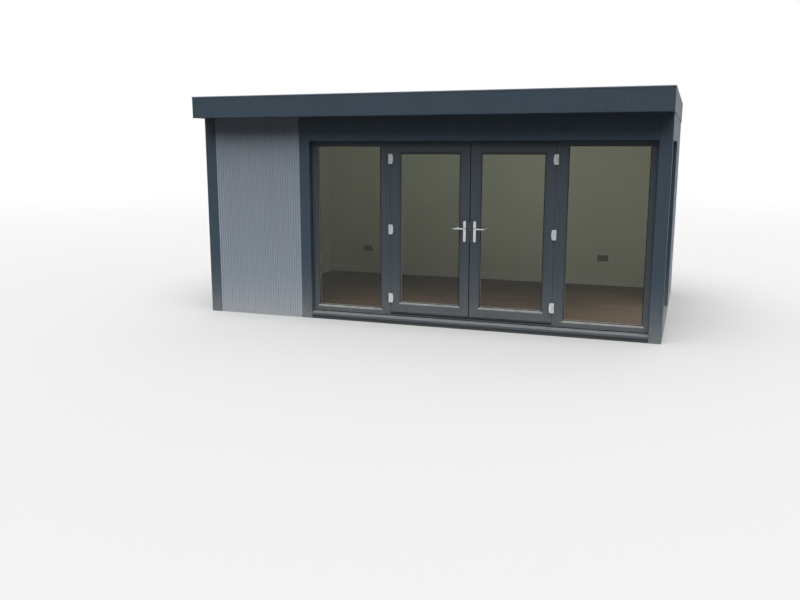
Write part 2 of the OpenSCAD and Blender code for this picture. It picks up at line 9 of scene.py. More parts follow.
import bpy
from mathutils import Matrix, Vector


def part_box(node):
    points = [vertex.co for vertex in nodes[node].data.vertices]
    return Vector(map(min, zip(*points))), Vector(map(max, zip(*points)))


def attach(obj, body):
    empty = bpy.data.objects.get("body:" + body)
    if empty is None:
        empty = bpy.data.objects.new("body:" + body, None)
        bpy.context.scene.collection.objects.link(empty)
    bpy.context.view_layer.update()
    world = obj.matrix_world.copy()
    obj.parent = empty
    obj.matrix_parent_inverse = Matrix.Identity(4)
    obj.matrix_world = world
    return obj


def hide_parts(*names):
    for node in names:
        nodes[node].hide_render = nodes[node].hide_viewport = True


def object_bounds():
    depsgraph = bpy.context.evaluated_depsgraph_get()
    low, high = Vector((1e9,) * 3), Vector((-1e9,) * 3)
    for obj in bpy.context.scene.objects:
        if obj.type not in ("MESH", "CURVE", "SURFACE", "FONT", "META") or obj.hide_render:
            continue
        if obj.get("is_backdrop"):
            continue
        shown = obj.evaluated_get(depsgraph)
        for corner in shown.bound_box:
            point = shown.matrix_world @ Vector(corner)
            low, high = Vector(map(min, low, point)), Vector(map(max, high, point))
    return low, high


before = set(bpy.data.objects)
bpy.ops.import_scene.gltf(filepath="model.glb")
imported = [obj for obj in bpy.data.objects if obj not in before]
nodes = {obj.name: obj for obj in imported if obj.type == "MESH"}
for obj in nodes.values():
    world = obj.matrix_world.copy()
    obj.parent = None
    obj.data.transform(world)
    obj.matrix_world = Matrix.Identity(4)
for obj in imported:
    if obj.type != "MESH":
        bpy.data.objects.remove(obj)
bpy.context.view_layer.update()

# %% Modules and units
from math import radians
from random import Random

import bmesh
import bpy
from mathutils import Matrix, Vector

MM = 0.001
scene = bpy.context.scene


def srgb(red, green, blue):
    """A colour from 0 to 255, as a painter's chart gives it, in the linear values that shaders use."""
    shares = [part / 255 for part in (red, green, blue)]
    return [part / 12.92 if part <= 0.04045 else ((part + 0.055) / 1.055) ** 2.4 for part in shares] + [1]


def turned(angle, axis):
    """A turn by some degrees about an axis."""
    return Matrix.Rotation(radians(angle), 4, axis)


# %% [markdown]
# ## The view
#
# A camera can be placed by hand, or worked out from the corners of a building, as here: the lines of the
# walls, the base and the roof give the position, the turn and the lens. The camera stands in front of the
# right corner at about eye height, and looks a little down.

# %% Camera
EYE_PLACE = (2.8071, -9.8624, 1.9248)
EYE_TURN = 19.712
EYE_TIP = 10.528

eye = bpy.data.cameras.new("eye")
eye.sensor_width = 36
eye.lens = 36.658
camera = bpy.data.objects.new("eye", eye)
scene.collection.objects.link(camera)
camera.matrix_world = Matrix.Translation(EYE_PLACE) @ turned(EYE_TURN, "Z") @ turned(90 - EYE_TIP, "X")
scene.camera = camera
print("camera at", [round(value, 2) for value in camera.location], "with a", eye.lens, "mm lens")

# %% [markdown]
# ## The light
#
# On a cloudy day light comes from the whole sky, and mostly from high up. A sun lamp with a very wide angle
# acts like a large soft patch of sky, so the roof's overhang leaves a soft shade that is deepest just under
# the soffit. One patch stands high in front, and weaker ones light the sides and the rear.


# %% Sky patches
def hang_lamp(name, kind, strength, place):
    """A lamp that lights matt surfaces, and doesn't show in metal or glass."""
    lamp = bpy.data.lights.new(name, kind)
    lamp.energy = strength
    holder = bpy.data.objects.new(name, lamp)
    scene.collection.objects.link(holder)
    holder.matrix_world = place
    holder.visible_glossy = False
    holder.visible_transmission = False
    return lamp


# Azimuth 0 is in front of the pod, and 90 is at its right side.
SKY = {
    "high_front_sky": (66, 12, 64, 5.4),
    "left_sky": (45, -90, 60, 0.8),
    "right_sky": (32, 88, 56, 0.42),
    "rear_sky": (45, 180, 60, 1.2),
}
for name, (elevation, azimuth, width, strength) in SKY.items():
    lamp = hang_lamp(name, "SUN", strength, turned(azimuth, "Z") @ turned(90 - elevation, "X"))
    lamp.angle = radians(width)

# %% [markdown]
# Daylight from the ground in front comes through the glass and reaches the foot of the room's rear wall. A
# wide, weak and low lamp just behind the glass stands for it.

# %% Light in the room
lamp = hang_lamp("room_daylight", "AREA", 4, Matrix.Translation((1.5, -1.3, 0.38)) @ turned(90, "X"))
lamp.shape = "RECTANGLE"
lamp.size = 2.4
lamp.size_y = 0.5
print("lamps:", [lamp.name for lamp in bpy.data.lights])

# %% [markdown]
# ## Node trees
#
# The sky and all finishes are trees of nodes. Written out in full, a node takes several lines, so a small
# class adds one, sets or links its sockets and hands back what comes out of it, all in one call.


# %% Helpers for node trees
class Tree:
    """A node tree with short ways to add nodes. What goes into a node is a socket or a plain value."""

    def __init__(self, tree):
        self.tree = tree

    def put(self, socket, side):
        """Links a socket to another one, or sets its value."""
        if isinstance(side, bpy.types.NodeSocket):
            self.tree.links.new(side, socket)
        else:
            socket.default_value = side

    def add(self, kind, inputs=None, **settings):
        """Adds a node. Its inputs are given by the name or the number of the socket."""
        made = self.tree.nodes.new("ShaderNode" + kind)
        for name, value in settings.items():
            setattr(made, name, value)
        for name, side in (inputs or {}).items():
            self.put(made.inputs[name], side)
        return made

    def group(self, group, inputs):
        """Places a node group and hands back its outputs."""
        return self.add("Group", inputs, node_tree=group).outputs

    def math(self, operation, first, second=0.0, clamp=False):
        """One sum."""
        return self.add("Math", {0: first, 1: second}, operation=operation, use_clamp=clamp).outputs[0]

    def times(self, product, *sides):
        """The product of some values."""
        for side in sides:
            product = self.math("MULTIPLY", product, side)
        return product

    def vector(self, operation, first, second=(0, 0, 0)):
        """One sum with vectors."""
        made = self.add("VectorMath", {0: first, 1: second}, operation=operation)
        return made.outputs["Value" if operation in ("DOT_PRODUCT", "LENGTH") else "Vector"]

    def shaded(self, colour, shade):
        """A colour made darker or lighter."""
        return self.add("VectorMath", {0: colour, "Scale": shade}, operation="SCALE").outputs[0]

    def ramp(self, value, low, high, start=0.0, end=1.0):
        """Brings a value from low..high to start..end, and clamps it."""
        inputs = {"Value": value, "From Min": low, "From Max": high, "To Min": start, "To Max": end}
        return self.add("MapRange", inputs).outputs["Result"]

    def spread(self, noise, start, end):
        """Spreads a noise, which lies mostly between 0.3 and 0.7, over start..end."""
        return self.ramp(noise, 0.3, 0.7, start, end)

    def mix(self, factor, first, second):
        """Mixes two colours."""
        return self.add("Mix", {0: factor, 6: first, 7: second}, data_type="RGBA").outputs[2]

    def place(self):
        """Object coordinates, which on these pieces are metres in the pod's own frame."""
        return self.add("TexCoord").outputs["Object"]

    def level(self, vector):
        """The upright part of a vector."""
        return self.add("SeparateXYZ", {0: vector}).outputs["Z"]

    def noise(self, place, scale, detail, **more):
        """The grey of a noise texture."""
        inputs = {"Vector": place, "Scale": scale, "Detail": detail}
        return self.add("TexNoise", {**inputs, **more}).outputs["Fac"]

    def show(self, other, factor):
        """Mixes another shader with the material's own, and sends both to the output."""
        mixed = self.add("MixShader", {0: factor, 1: self.shader.outputs[0], 2: other.outputs[0]})
        self.put(self.tree.nodes["Material Output"].inputs["Surface"], mixed.outputs[0])


# %% [markdown]
# **The sky.** The world is the rest of the sky. What the camera sees of it is plain white, and so is what
# glass and metal mirror. Matt surfaces get a dimmer sky, which is brighter overhead than at the horizon. The
# Light Path node tells these rays apart.

# %% World
world = bpy.data.worlds.new("cloudy_sky")
scene.world = world
world.use_nodes = True
world.node_tree.nodes.clear()
tree = Tree(world.node_tree)
dimmer = tree.ramp(tree.level(tree.add("TexCoord").outputs["Generated"]), 0.2, 1.0, 0.0, 0.8)
ray = tree.add("LightPath").outputs
seen = tree.math("ADD", ray["Is Camera Ray"], ray["Is Glossy Ray"], clamp=True)
seen = tree.math("ADD", seen, ray["Is Transmission Ray"], clamp=True)
seen_direct = tree.times(seen, tree.math("LESS_THAN", ray["Diffuse Depth"], 0.5))
strength = tree.add("Mix", {"Factor": seen_direct, "A": dimmer, "B": 1.0}).outputs["Result"]
sky = tree.add("Background", {"Color": (1, 1, 1, 1), "Strength": strength})
tree.add("OutputWorld", {"Surface": sky.outputs[0]})
scene.view_settings.view_transform = "Standard"
print("the world has", len(world.node_tree.nodes), "nodes")

# %% [markdown]
# ## Shared effects
#
# A finish is more than a colour. Grain, wear on edges, dust near the ground and the change of tone from
# board to board turn up in many materials, so each is a node group, built once and placed in a material
# with its own values. The edge and dust groups also carry painted light: highlights on edges and on faces
# that point up, and a reflection of the ground low down. All of them read Object coordinates.


# %% Node groups
def new_group(name, inputs, outputs):
    """A shader node group. Inputs are given with their values, and outputs with their kinds."""
    group = bpy.data.node_groups.new(name, "ShaderNodeTree")
    for title, value in inputs.items():
        kind = "Vector" if isinstance(value, tuple) else "Float"
        socket = group.interface.new_socket(title, in_out="INPUT", socket_type="NodeSocket" + kind)
        socket.default_value = value
    for title, kind in outputs.items():
        group.interface.new_socket(title, in_out="OUTPUT", socket_type="NodeSocket" + kind)
    given = group.nodes.new("NodeGroupInput").outputs
    result = group.nodes.new("NodeGroupOutput").inputs
    return group, Tree(group), given, result


# %% [markdown]
# **Grain.** Noise is stretched by a vector, so that it is short across a board and long along it. With the
# same stretch in all directions it is the even stipple of a paint roller.

# %% Grain group
GRAIN, tree, given, result = new_group(
    "grain", {"Stretch": (200, 200, 200), "Detail": 4.0, "Twist": 0.0}, {"Grain": "Float"})
stretched = tree.vector("MULTIPLY", tree.place(), given["Stretch"])
grain = tree.noise(stretched, 1.0, given["Detail"], Distortion=given["Twist"], Roughness=0.6)
tree.put(result["Grain"], grain)
print("grain group:", len(GRAIN.nodes), "nodes")


def grain_of(tree, stretch, **more):
    """The grain in a material, stretched to suit it."""
    return tree.group(GRAIN, {"Stretch": stretch, **more})["Grain"]


# %% [markdown]
# ** Worn and lit edges.** The Bevel node looks round a point and tells how the surface turns there. Where its
# normal and the true one differ, there is an edge, which a finish makes lighter: partly wear, partly a painted
# highlight. The mask is broken up with noise, because no edge wears evenly.

# %% Edge group
EDGES, tree, given, result = new_group(
    "edge_wear_and_highlight", {"Radius": 0.003, "Amount": 0.5}, {"Edge": "Float", "Normal": "Vector"})
rounded = tree.add("Bevel", {"Radius": given["Radius"]}, samples=4).outputs[0]
alike = tree.vector("DOT_PRODUCT", rounded, tree.add("NewGeometry").outputs["Normal"])
patches = tree.noise(tree.place(), 35.0, 3.0)
broken = tree.times(tree.ramp(alike, 0.99, 0.75), tree.ramp(patches, 0.35, 0.65))
tree.put(result["Edge"], tree.math("MULTIPLY", broken, given["Amount"], clamp=True))
tree.put(result["Normal"], rounded)
print("edge group:", len(EDGES.nodes), "nodes")

# %% [markdown]
# ** Dust, splash and painted light.** Rain splashes dust from the ground on the lowest hand's breadth of a
# wall, and runs down in faint streaks. Dust also settles on whatever faces up. The same pale mask also paints
# light: a reflection of the bright ground on the low part of a wall, and a highlight on faces that point up.

# %% Dust group
DUST_AND_LIGHT_INPUTS = {"Low Band Height": 0.25, "Splash and Ground Light": 0.3, "Streaks": 0.1, "Settled and Sky Light": 0.2}
DUST_AND_LIGHT, tree, given, result = new_group("dust_and_light", DUST_AND_LIGHT_INPUTS, {"Dust and Light": "Float"})
place = tree.place()
patches = tree.noise(place, 14.0, 5.0)
# Low band: partly splashed dust, partly a painted reflection of the bright ground.
low = tree.ramp(tree.level(place), given["Low Band Height"], 0.0)
splash_and_ground_light = tree.times(low, low, tree.spread(patches, 0.5, 0.85), given["Splash and Ground Light"])
runs = tree.noise(tree.vector("MULTIPLY", place, (55, 55, 1.2)), 1.0, 3.0)
streaks = tree.times(tree.ramp(runs, 0.5, 0.75), given["Streaks"])
# Faces that point up: partly settled dust, partly a painted highlight from the sky.
up = tree.ramp(tree.level(tree.add("NewGeometry").outputs["Normal"]), 0.3, 0.95)
settled_and_sky_light = tree.times(up, given["Settled and Sky Light"], tree.spread(patches, 0.5, 1.0))
total = tree.math("ADD", tree.math("ADD", splash_and_ground_light, streaks), settled_and_sky_light, clamp=True)
tree.put(result["Dust and Light"], total)
print("dust group:", len(DUST_AND_LIGHT.nodes), "nodes")

# %% [markdown]
# **Board tones.** Boards of one batch differ a little in tone. The place along the wall is divided by the
# board's width. The whole part of the result picks a random tone, and the rest tells where the joints
# between boards and the grooves between ribs are.

# %% Board group
BOARDS, tree, given, result = new_group(
    "board_tone",
    {"Along": (1, 0, 0), "Start": 0.0, "Width": 0.15, "Spread": 0.05, "Batch": 0.0, "Ribs": 5.0},
    {"Tone": "Float", "Joint": "Float", "Groove": "Float"})
run = tree.vector("DOT_PRODUCT", tree.place(), given["Along"])
boards = tree.math("DIVIDE", tree.math("SUBTRACT", run, given["Start"]), given["Width"])
number = tree.math("ADD", tree.math("FLOOR", boards), given["Batch"])
chance = tree.add("TexWhiteNoise", {"W": number}, noise_dimensions="1D").outputs["Value"]
lowest = tree.math("SUBTRACT", 1.0, given["Spread"])
highest = tree.math("ADD", 1.0, given["Spread"])
tree.put(result["Tone"], tree.ramp(chance, 0.0, 1.0, lowest, highest))
ribs = tree.times(boards, given["Ribs"])
for title, count, low, high in (("Joint", boards, 0.46, 0.468), ("Groove", ribs, 0.3, 0.33)):
    from_middle = tree.math("ABSOLUTE", tree.math("SUBTRACT", tree.math("FRACT", count), 0.5))
    tree.put(result[title], tree.ramp(from_middle, low, high))
print("board group:", len(BOARDS.nodes), "nodes")

# %% [markdown]
# ## Finishes
#
# Most of the pod is coated: foil on the window frames, paint on the trims, powder coat on the metal. One
# function makes all these, each with its own colour, grain, gloss, dust and edge wear, and the painted
# light that the dust and edge masks also carry.

# %% Coated surfaces
DUST_AND_LIGHT_COLOUR = srgb(152, 150, 144)


def new_material(name, **plain):
    """A material and its tree, which knows the Principled shader. Plain values go on the shader's sockets."""
    material = bpy.data.materials.new(name)
    material.use_nodes = True
    tree = Tree(material.node_tree)
    tree.shader = material.node_tree.nodes["Principled BSDF"]
    tree.shader.inputs["Specular IOR Level"].default_value = 0.15
    for socket, value in plain.items():
        tree.shader.inputs[socket.replace("_", " ")].default_value = value
    return material, tree


def join_shader(tree, colour, rough, bump):
    """Joins a colour, a roughness and a bump to the shader."""
    for name, side in (("Base Color", colour), ("Roughness", rough), ("Normal", bump.outputs[0])):
        tree.put(tree.shader.inputs[name], side)


def finish_surface(tree, colour, rough, grain, depth, edges, dust_and_light, edge_colour):
    """Adds edge wear and dust, with their painted highlights and ground light, to a colour and its gloss. The
    edges and dust settings list the inputs of their groups.
    """
    wear_and_highlight = tree.group(EDGES, dict(zip(("Radius", "Amount"), edges)))
    dust_and_light_mask = tree.group(DUST_AND_LIGHT, dict(zip(DUST_AND_LIGHT_INPUTS, dust_and_light)))["Dust and Light"]
    # The pale colours at edges and in the dust mask are partly painted light.
    colour = tree.mix(dust_and_light_mask, tree.mix(wear_and_highlight["Edge"], colour, edge_colour), DUST_AND_LIGHT_COLOUR)
    rough = tree.math("ADD", rough, tree.times(dust_and_light_mask, 0.3), clamp=True)
    bump = tree.add("Bump", {"Height": grain, "Normal": wear_and_highlight["Normal"], "Strength": 1.0, "Distance": depth})
    join_shader(tree, colour, rough, bump)


def coated(name, colour, rough, stretch, depth, edges=(0.002, 0.25), dust_and_light=(0.2, 0.25, 0.08, 0.25),
        tint=0.06, edge_colour=None):
    """A coated surface. Stretch and depth set its grain, and tint how far the grain darkens the colour."""
    material, tree = new_material(name)
    grain = grain_of(tree, stretch)
    clouds = grain_of(tree, (1.7, 1.7, 1.7), Detail=3.0)
    tone = tree.ramp(grain, 0.25, 0.75, 1 - tint, 1 + tint)
    toned = tree.shaded(colour[:3], tree.times(tone, tree.spread(clouds, 0.97, 1.03)))
    gloss = tree.spread(grain, rough - 0.05, rough + 0.05)
    # Edges turn lighter: partly worn coating, partly a painted highlight along the edge.
    edge_colour = edge_colour or [min(1, part * 1.9 + 0.02) for part in colour[:3]] + [1]
    finish_surface(tree, toned, gloss, grain, depth, edges, dust_and_light, edge_colour)
    return material


EVEN = (420, 420, 420)
LENGTHWAYS = (9, 160, 160)
UPWARDS = (160, 160, 9)
ROLLED = (90, 90, 90)
FRAME_GREY = srgb(59, 66, 72)
# The trims' tall, strong splash band is mostly a painted reflection of the bright ground on their lower part.
dark_trim = coated("dark_trim", srgb(54, 66, 76), 0.48, EVEN, 0.00006, dust_and_light=(0.75, 0.4, 0.03, 0.25))
# The plinth's finish is darker than the other trims: painted shade under the sills.
base_trim_painted_shade = coated("base_trim_painted_shade", srgb(50, 54, 55), 0.6, EVEN, 0.00006, dust_and_light=(0.04, 0.1, 0, 0.1))
# On the sills, the pale colour on faces that point up is partly a painted highlight on their top face.
foiled_rail = coated("foiled_rail", FRAME_GREY, 0.42, LENGTHWAYS, 0.00008, dust_and_light=(0.9, 0.1, 0.03, 0.3))
edge_metal = coated("edge_metal", srgb(98, 108, 120), 0.38, EVEN, 0.00003, edges=(0.002, 0.5))
wall_panel = coated("wall_panel", srgb(226, 228, 205), 0.6, ROLLED, 0.00002, tint=0.004,
    dust_and_light=(0.05, 0.1, 0, 0), edges=(0.001, 0))
white_board = coated("white_board", srgb(230, 232, 218), 0.4, ROLLED, 0.00005, tint=0.01,
    dust_and_light=(0.09, 0.1, 0, 0.05), edges=(0.001, 0.1))
membrane = coated("membrane", srgb(52, 54, 56), 0.75, (60, 60, 60), 0.0004, dust_and_light=(0.01, 0, 0, 0.22))
socket_plastic = coated("socket_plastic", srgb(124, 128, 120), 0.35, EVEN, 0.00002, dust_and_light=(0.05, 0, 0, 0.1))
hinge_white = coated("hinge_white", srgb(186, 192, 193), 0.35, EVEN, 0.00003, tint=0.02,
    dust_and_light=(0.05, 0, 0.15, 0.1), edge_colour=srgb(180, 180, 178))
rubber = coated("rubber", srgb(20, 20, 21), 0.6, (300, 300, 300), 0.00005, dust_and_light=(0.2, 0.1, 0, 0.15))
spacer_metal = coated("spacer_metal", srgb(142, 145, 144), 0.5, (60, 60, 60), 0.00002,
    dust_and_light=(0, 0, 0, 0), edges=(0.001, 0.1))
print(len(bpy.data.materials), "materials, with the packed ones")

# %% [markdown]
# **Foiled frames.** The window frames are plastic bars under a printed foil. Its grain runs along each bar,
# so the material mixes an upright grain and a level one by the attribute that marks the level bars.

# %% Foiled frames
foiled_frame, tree = new_material("foiled_frame")
level_bar = tree.add("Attribute", attribute_name="level_bar").outputs["Fac"]
upright = tree.times(grain_of(tree, UPWARDS), tree.math("SUBTRACT", 1.0, level_bar))
grain = tree.math("ADD", upright, tree.times(grain_of(tree, (9, 9, 160)), level_bar))
toned = tree.shaded(FRAME_GREY[:3], tree.ramp(grain, 0.25, 0.75, 0.94, 1.06))
gloss = tree.spread(grain, 0.37, 0.47)
# Its strong pale mask on faces that point up is partly a painted highlight on the beads, and its low band
# partly painted ground light on the low rails.
finish_surface(tree, toned, gloss, grain, 0.00008, edges=(0.002, 0.25),
    dust_and_light=(0.9, 0.25, 0.03, 1.2), edge_colour=srgb(124, 130, 142))

# %% [markdown]
# ** Ribbed composite cladding.** The boards are extruded wood flour and plastic with a brushed face. Each
# board is five ribs wide, and its tone differs a little from the next one. The brushing is a fine upright
# grain. The grooves between ribs are darker: partly the unbrushed skin of the extrusion, partly painted
# shade in the hollows. The groove between two boards is deeper and lies in deeper shade, so painted light
# makes it a little paler.


# %% Cladding
def composite_boards(wall, along, start, width, batch):
    """The cladding of one wall. Along and start say where its first board begins."""
    material, tree = new_material("composite_" + wall)
    fine = grain_of(tree, (420, 420, 14))
    coarse = grain_of(tree, (40, 40, 1.5))
    board = tree.group(
        BOARDS, {"Along": along, "Start": start, "Width": width, "Spread": 0.01, "Batch": batch})
    shade = tree.times(
        board["Tone"],
        tree.spread(fine, 0.97, 1.03),
        tree.spread(coarse, 0.99, 1.01),
        # Painted shade darkens the grooves, besides their unbrushed skin, and painted light lifts the joints.
        tree.ramp(board["Groove"], 0.0, 1.0, 1.07, 0.86),
        tree.ramp(board["Joint"], 0.0, 1.0, 1.0, 1.06))
    toned = tree.shaded(srgb(127, 136, 146)[:3], shade)
    gloss = tree.spread(fine, 0.62, 0.78)
    finish_surface(tree, toned, gloss, fine, 0.00012, edges=(0.002, 0.12),
        dust_and_light=(0.6, 0.6, 0.03, 0.3), edge_colour=srgb(160, 166, 172))
    return material


def paint(name, material):
    """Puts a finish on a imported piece."""
    nodes[name].data.materials.clear()
    nodes[name].data.materials.append(material)


RIBS_PER_BOARD = 5
RIB_PITCH = 30.8 * MM
CLADDING = {
    "front_cladding": (1, 0, 0),
    "left_cladding": (0, -1, 0),
    "rear_cladding": (-1, 0, 0),
    "right_cladding": (0, 1, 0),
}
for number, (wall, along) in enumerate(CLADDING.items()):
    low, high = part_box(wall)
    ends = (low @ Vector(along), high @ Vector(along))
    length = abs(ends[1] - ends[0])
    width = RIBS_PER_BOARD * length / round(length / RIB_PITCH)
    paint(wall, composite_boards(wall, along, min(ends), width, 100 * number))
    print(wall, "has boards", round(width / MM, 1), "mm wide")

# %% [markdown]
# **Timber.** The bearers and the deck are softwood. Rings in a sawn board run along it as long bands, so a
# wave texture is stretched along the boards and bent by noise.

# %% Timber
timber, tree = new_material("timber")
stretched = tree.vector("MULTIPLY", tree.place(), (14, 0.8, 14))
wave = {"Vector": stretched, "Scale": 1.0, "Distortion": 6.0, "Detail": 3.0}
colour = tree.mix(tree.add("TexWave", wave).outputs["Fac"], srgb(176, 146, 104), srgb(150, 118, 78))
fibre = grain_of(tree, (320, 9, 320))
colour = tree.mix(tree.spread(fibre, 0.0, 0.35), colour, srgb(120, 96, 66))
finish_surface(tree, colour, 0.75, fibre, 0.0003, edges=(0.003, 0.2),
    dust_and_light=(0.02, 0.2, 0, 0.3), edge_colour=srgb(190, 160, 120))

# %% [markdown]
# **Laminate.** The floor boards carry a printed brown-grey wood. The red part of each board's colour
# attribute sets its tone, and the other two parts shift the grain, so no two boards show the same wood.

# %% Laminate
laminate, tree = new_material("laminate")
mark = tree.add("Attribute", attribute_name="board").outputs["Color"]
tone = tree.ramp(tree.add("SeparateColor", {0: mark}).outputs["Red"], 0.0, 1.0, 0.9, 1.1)
shifted = tree.vector("ADD", tree.place(), tree.vector("MULTIPLY", mark, (0, 9, 5)))
bands = tree.noise(tree.vector("MULTIPLY", shifted, (1.3, 22, 22)), 1.0, 5.0, Distortion=0.8)
pores = grain_of(tree, (14, 700, 700))
colour = tree.mix(tree.ramp(bands, 0.35, 0.65), srgb(126, 99, 84), srgb(100, 77, 64))
colour = tree.mix(tree.ramp(pores, 0.5, 0.7, 0.0, 0.3), colour, srgb(78, 62, 52))
finish_surface(tree, tree.shaded(colour, tone), 0.45, pores, 0.00006, edges=(0.001, 0.1),
    dust_and_light=(0, 0, 0, 0.08), edge_colour=srgb(140, 128, 116))
print("laminate:", len(laminate.node_tree.nodes), "nodes")

# %% [markdown]
# **Satin metal.** The handles are cast and satin plated. Real metal has Metallic at 1, and its gloss is
# broken by a very fine brushing, which the roughness carries.

# %% Satin metal
satin_metal, tree = new_material("satin_metal", Metallic=1.0, Specular_IOR_Level=0.5)
brushing = grain_of(tree, (900, 900, 60))
fingers = grain_of(tree, (40, 40, 40))
colour = tree.mix(tree.ramp(fingers, 0.4, 0.7, 0.0, 0.4), srgb(208, 209, 208), srgb(190, 191, 190))
gloss = tree.math("ADD", tree.spread(brushing, 0.26, 0.36), tree.ramp(fingers, 0.4, 0.7, 0.0, 0.08))
bump = tree.add("Bump", {"Height": brushing, "Strength": 0.5, "Distance": 0.00003})
join_shader(tree, colour, gloss, bump)

# %% [markdown]
# **Glass.** Each sealed unit is two clear panes with a faint green tint. Light that only passes through on
# its way to a surface skips the glass: a shadow ray meets a Transparent shader instead, so the lamps reach
# the room. A little dirt in the roughness keeps the panes from looking like empty holes.

# %% Glass
glass, tree = new_material("glass", Transmission_Weight=1.0, IOR=1.2, Specular_IOR_Level=0.07,
    Base_Color=(0.94, 0.962, 0.942, 1))
smears = grain_of(tree, (3, 3, 1.2), Detail=6.0, Twist=1.0)
tree.put(tree.shader.inputs["Roughness"], tree.ramp(smears, 0.45, 0.8, 0.0, 0.008))
clear = tree.add("BsdfTransparent", {"Color": (0.94, 0.955, 0.94, 1)})
tree.show(clear, tree.add("LightPath").outputs["Is Shadow Ray"])

# %% [markdown]
# **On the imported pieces.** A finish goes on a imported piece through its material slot. Its mesh stays as is.

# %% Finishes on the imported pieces
FINISHES = {
    timber: ["floor_bearers", "floor_deck"],
    base_trim_painted_shade: ["plinth_boards"],
    dark_trim: ["corner_trims", "reveal_trims", "header_panels", "front_fascia", "side_fascias",
        "rear_fascia", "soffit"],
    wall_panel: ["front_wall", "corner_post", "left_wall", "rear_wall", "right_wall", "wall_headers",
        "roof_panel"],
    membrane: ["roof_membrane"],
    edge_metal: ["roof_edge_trim"],
    white_board: ["ceiling", "skirting"],
    socket_plastic: ["wall_sockets"],
    foiled_frame: ["left_light_frame", "right_light_frame", "side_light_frame", "door_frame_jambs",
        "left_door_sash", "right_door_sash"],
    foiled_rail: ["sills", "door_frame_rails"],
    laminate: ["laminate_floor"],
    glass: ["fixed_glass", "left_door_glass", "right_door_glass"],
    hinge_white: ["frame_hinges", "left_door_hinges", "right_door_hinges"],
    satin_metal: ["left_handle_plates", "left_lever", "right_handle_plates", "right_lever"],
}
for material, names in FINISHES.items():
    for name in names:
        paint(name, material)
print("finished", sum(len(names) for names in FINISHES.values()) + len(CLADDING), "packed pieces")

# %% [markdown]
# ## Rounded and welded edges
#
# The imported pieces have perfectly sharp edges and flat facets. A copy of such a piece is first merged,
# because it comes as loose triangles. Then its hard edges get a small round, as paint and folded metal have.
# Turned parts keep their edges, and smooth shading makes them look round. The copy takes the imported piece's
# finish and stands for it, and the imported piece stays for collision, hidden.


def new_object(name, shape):
    """Makes an object of a shape."""
    mesh = bpy.data.meshes.new(name)
    shape.to_mesh(mesh)
    shape.free()
    made = bpy.data.objects.new(name, mesh)
    scene.collection.objects.link(made)
    return made


def finished(shape, name, body, material, replaces=(), limit=35):
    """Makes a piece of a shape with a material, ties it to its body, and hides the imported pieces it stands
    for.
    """
    piece = new_object(name, shape)
    piece.data.materials.append(material)
    piece.data.shade_smooth()
    piece.data.set_sharp_from_angle(angle=radians(limit))
    even = piece.modifiers.new("even_shading", "WEIGHTED_NORMAL")
    even.keep_sharp = True
    # Where a packed slot has the same name, Blender adds .001 to the finish's name.
    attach(piece, body)
    if replaces:
        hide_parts(*replaces)
    print(name, "has", len(piece.data.polygons), "faces")


def round_edges(shape, radius, segments=2, edges=None):
    """Rounds the given edges, or all where two faces meet at more than 30 degrees."""
    if edges is None:
        edges = [edge for edge in shape.edges if edge.is_manifold and edge.calc_face_angle() > radians(30)]
    bmesh.ops.bevel(shape, geom=edges, offset=radius, segments=segments, profile=0.5, affect="EDGES",
        material=-1, clamp_overlap=True)


def merged_copy(name):
    """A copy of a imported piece, with its loose triangles merged."""
    shape = bmesh.new()
    shape.from_mesh(nodes[name].data)
    bmesh.ops.remove_doubles(shape, verts=shape.verts, dist=0.02 * MM)
    return shape


# %% Rounded copies
ROUNDED = {
    2.0: ["front_fascia", "side_fascias", "rear_fascia"],
    1.5: ["header_panels", "reveal_trims", "corner_trims", "plinth_boards"],
    0.45: ["sills"],
    0.8: ["roof_edge_trim"],
    1.0: ["skirting"],
    0: ["frame_hinges", "left_door_hinges", "right_door_hinges", "left_handle_plates", "right_handle_plates",
        "left_lever", "right_lever"],
}
BODIES = {}
for side in ("left", "right"):
    for name in ("_door_hinges", "_handle_plates", "_door_sash"):
        BODIES[side + name] = side + "_door"
    BODIES[side + "_lever"] = side + "_door_lever"
for radius, names in ROUNDED.items():
    for name in names:
        shape = merged_copy(name)
        bmesh.ops.dissolve_limit(shape, angle_limit=radians(0.5), verts=shape.verts, edges=shape.edges)
        if radius:
            round_edges(shape, radius * MM)
        body = BODIES.get(name, "pod")
        finished(shape, name + "_rounded", body, nodes[name].data.materials[0], [name])

# %% [markdown]
# **Weld seams.** A window frame is cut from long bars, mitred and welded. The bead of plastic that the weld
# squeezes out is trimmed off with a knife, which leaves a fine groove across each corner. Three cuts along
# the mitre mark its two sides and its bottom, and the bottom is then pushed in. Faces of the level bars are
# marked in a colour attribute, which tells the foil's material to turn its grain.

# %% Welded frames
SEAM_HALF = 0.9 * MM
SEAM_DEPTH = 0.5 * MM
CORNER_REACH = 200 * MM


def frame_place(name):
    """The place of a frame, with x across it, y inwards and z up, and its width and height."""
    low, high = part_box(name)
    if name == "side_light_frame":
        corner = Matrix.Translation((high.x, low.y, low.z))
        return corner @ turned(90, "Z"), high.y - low.y, high.z - low.z
    return Matrix.Translation(low), high.x - low.x, high.z - low.z


